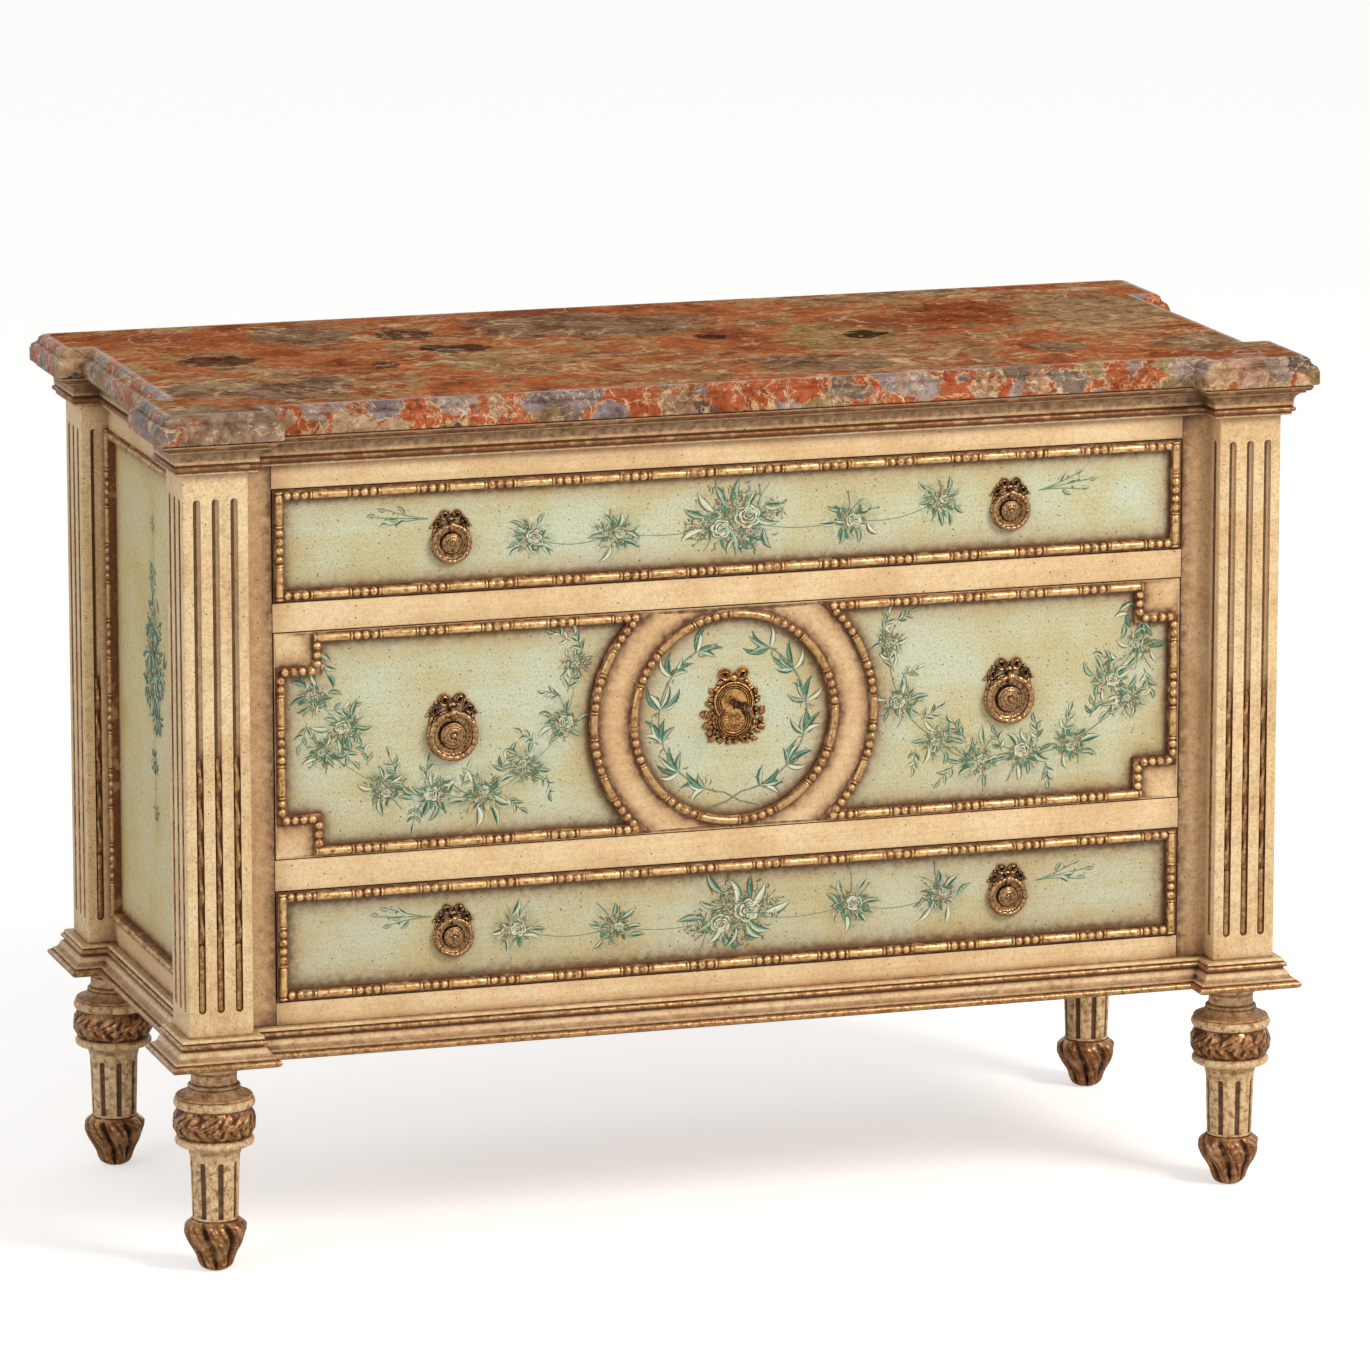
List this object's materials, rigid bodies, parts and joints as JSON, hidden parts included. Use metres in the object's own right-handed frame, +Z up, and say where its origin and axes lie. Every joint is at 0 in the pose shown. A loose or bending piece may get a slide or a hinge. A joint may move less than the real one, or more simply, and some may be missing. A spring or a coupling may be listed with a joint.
{
  "type": "commode chest",
  "caption": "Painted neoclassical commode chest with drawers that slide, hinged ring pulls, a lock with its key, fluted corner posts, turned legs and a marble top.",
  "frame": {"origin": "on the floor under the middle of the bounding box", "axes": "+X to the right as seen from the front, +Y to the back, +Z up; the drawers open towards -Y"},
  "size_m": [1.286, 0.586, 0.928],
  "materials": {
    "marble": "polished, mottled red-brown",
    "cream_paint": "cream paint with brown antiquing glaze",
    "green_paint": "pale green paint with a crackled glaze and painted flower sprays",
    "gilding": "gilded carving, worn",
    "bare_wood": "bare, planed",
    "bronze": "cast, patinated bronze",
    "iron": "dark, burnished"
  },
  "bodies": {
    "carcass": {"marble_top": "marble", "cornice_board": "cream_paint", "base_board": "cream_paint", "post_front_left": "cream_paint", "post_front_right": "cream_paint", "post_back_left": "cream_paint", "post_back_right": "cream_paint", "leg_front_left": "cream_paint", "leg_front_right": "cream_paint", "leg_back_left": "cream_paint", "leg_back_right": "cream_paint", "rail_top": "cream_paint", "rail_upper": "cream_paint", "rail_lower": "cream_paint", "rail_bottom": "cream_paint", "side_frame_left": "cream_paint", "side_frame_right": "cream_paint", "side_panel_left": "green_paint", "side_panel_right": "green_paint", "back_panel": "bare_wood", "dust_board_upper": "bare_wood", "dust_board_lower": "bare_wood", "dust_board_bottom": "bare_wood"},
    "drawer_top": {"drawer_top_front": "green_paint", "drawer_top_side_left": "bare_wood", "drawer_top_side_right": "bare_wood", "drawer_top_back": "bare_wood", "drawer_top_bottom": "bare_wood", "bead_top": "gilding", "pull_plate_top_left": "bronze", "pull_plate_top_right": "bronze"},
    "drawer_middle": {"drawer_middle_front": "green_paint", "drawer_middle_side_left": "bare_wood", "drawer_middle_side_right": "bare_wood", "drawer_middle_back": "bare_wood", "drawer_middle_bottom": "bare_wood", "bead_field_left": "gilding", "bead_field_right": "gilding", "bead_medallion": "gilding", "pull_plate_middle_left": "bronze", "pull_plate_middle_right": "bronze", "escutcheon": "bronze", "lock_case": "iron"},
    "drawer_bottom": {"drawer_bottom_front": "green_paint", "drawer_bottom_side_left": "bare_wood", "drawer_bottom_side_right": "bare_wood", "drawer_bottom_back": "bare_wood", "drawer_bottom_bottom": "bare_wood", "bead_bottom": "gilding", "pull_plate_bottom_left": "bronze", "pull_plate_bottom_right": "bronze"},
    "ring_top_left": {"pull_ring_top_left": "bronze"},
    "ring_top_right": {"pull_ring_top_right": "bronze"},
    "ring_middle_left": {"pull_ring_middle_left": "bronze"},
    "ring_middle_right": {"pull_ring_middle_right": "bronze"},
    "ring_bottom_left": {"pull_ring_bottom_left": "bronze"},
    "ring_bottom_right": {"pull_ring_bottom_right": "bronze"},
    "key": {"key": "iron"},
    "lock_bolt": {"lock_bolt": "iron"}
  },
  "joints": [
    {"name": "drawer_top_slide", "type": "slide", "parent": "carcass", "child": "drawer_top", "axis": [0, -1, 0], "range_m": [0, 0.33]},
    {"name": "drawer_middle_slide", "type": "slide", "parent": "carcass", "child": "drawer_middle", "axis": [0, -1, 0], "range_m": [0, 0.33]},
    {"name": "drawer_bottom_slide", "type": "slide", "parent": "carcass", "child": "drawer_bottom", "axis": [0, -1, 0], "range_m": [0, 0.33]},
    {"name": "ring_top_left_lift", "type": "hinge", "parent": "drawer_top", "child": "ring_top_left", "pos_m": [-0.312, -0.23169, 0.78696], "axis": [-1, 0, 0], "range_deg": [0, 90]},
    {"name": "ring_top_right_lift", "type": "hinge", "parent": "drawer_top", "child": "ring_top_right", "pos_m": [0.312, -0.23169, 0.78696], "axis": [-1, 0, 0], "range_deg": [0, 90]},
    {"name": "ring_middle_left_lift", "type": "hinge", "parent": "drawer_middle", "child": "ring_middle_left", "pos_m": [-0.312, -0.2332, 0.586], "axis": [-1, 0, 0], "range_deg": [0, 90]},
    {"name": "ring_middle_right_lift", "type": "hinge", "parent": "drawer_middle", "child": "ring_middle_right", "pos_m": [0.312, -0.2332, 0.586], "axis": [-1, 0, 0], "range_deg": [0, 90]},
    {"name": "ring_bottom_left_lift", "type": "hinge", "parent": "drawer_bottom", "child": "ring_bottom_left", "pos_m": [-0.312, -0.23169, 0.36221], "axis": [-1, 0, 0], "range_deg": [0, 90]},
    {"name": "ring_bottom_right_lift", "type": "hinge", "parent": "drawer_bottom", "child": "ring_bottom_right", "pos_m": [0.312, -0.23169, 0.36221], "axis": [-1, 0, 0], "range_deg": [0, 90]},
    {"name": "key_turn", "type": "hinge", "parent": "drawer_middle", "child": "key", "pos_m": [0, -0.231, 0.578], "axis": [0, -1, 0], "range_deg": [0, 180]},
    {"name": "bolt_throw", "type": "slide", "parent": "drawer_middle", "child": "lock_bolt", "axis": [0, 0, 1], "range_m": [0, 0.008]}
  ],
  "couplings": [
    {"joint": "key_turn", "follows": "bolt_throw", "rad_per_m": 392.7}
  ]
}
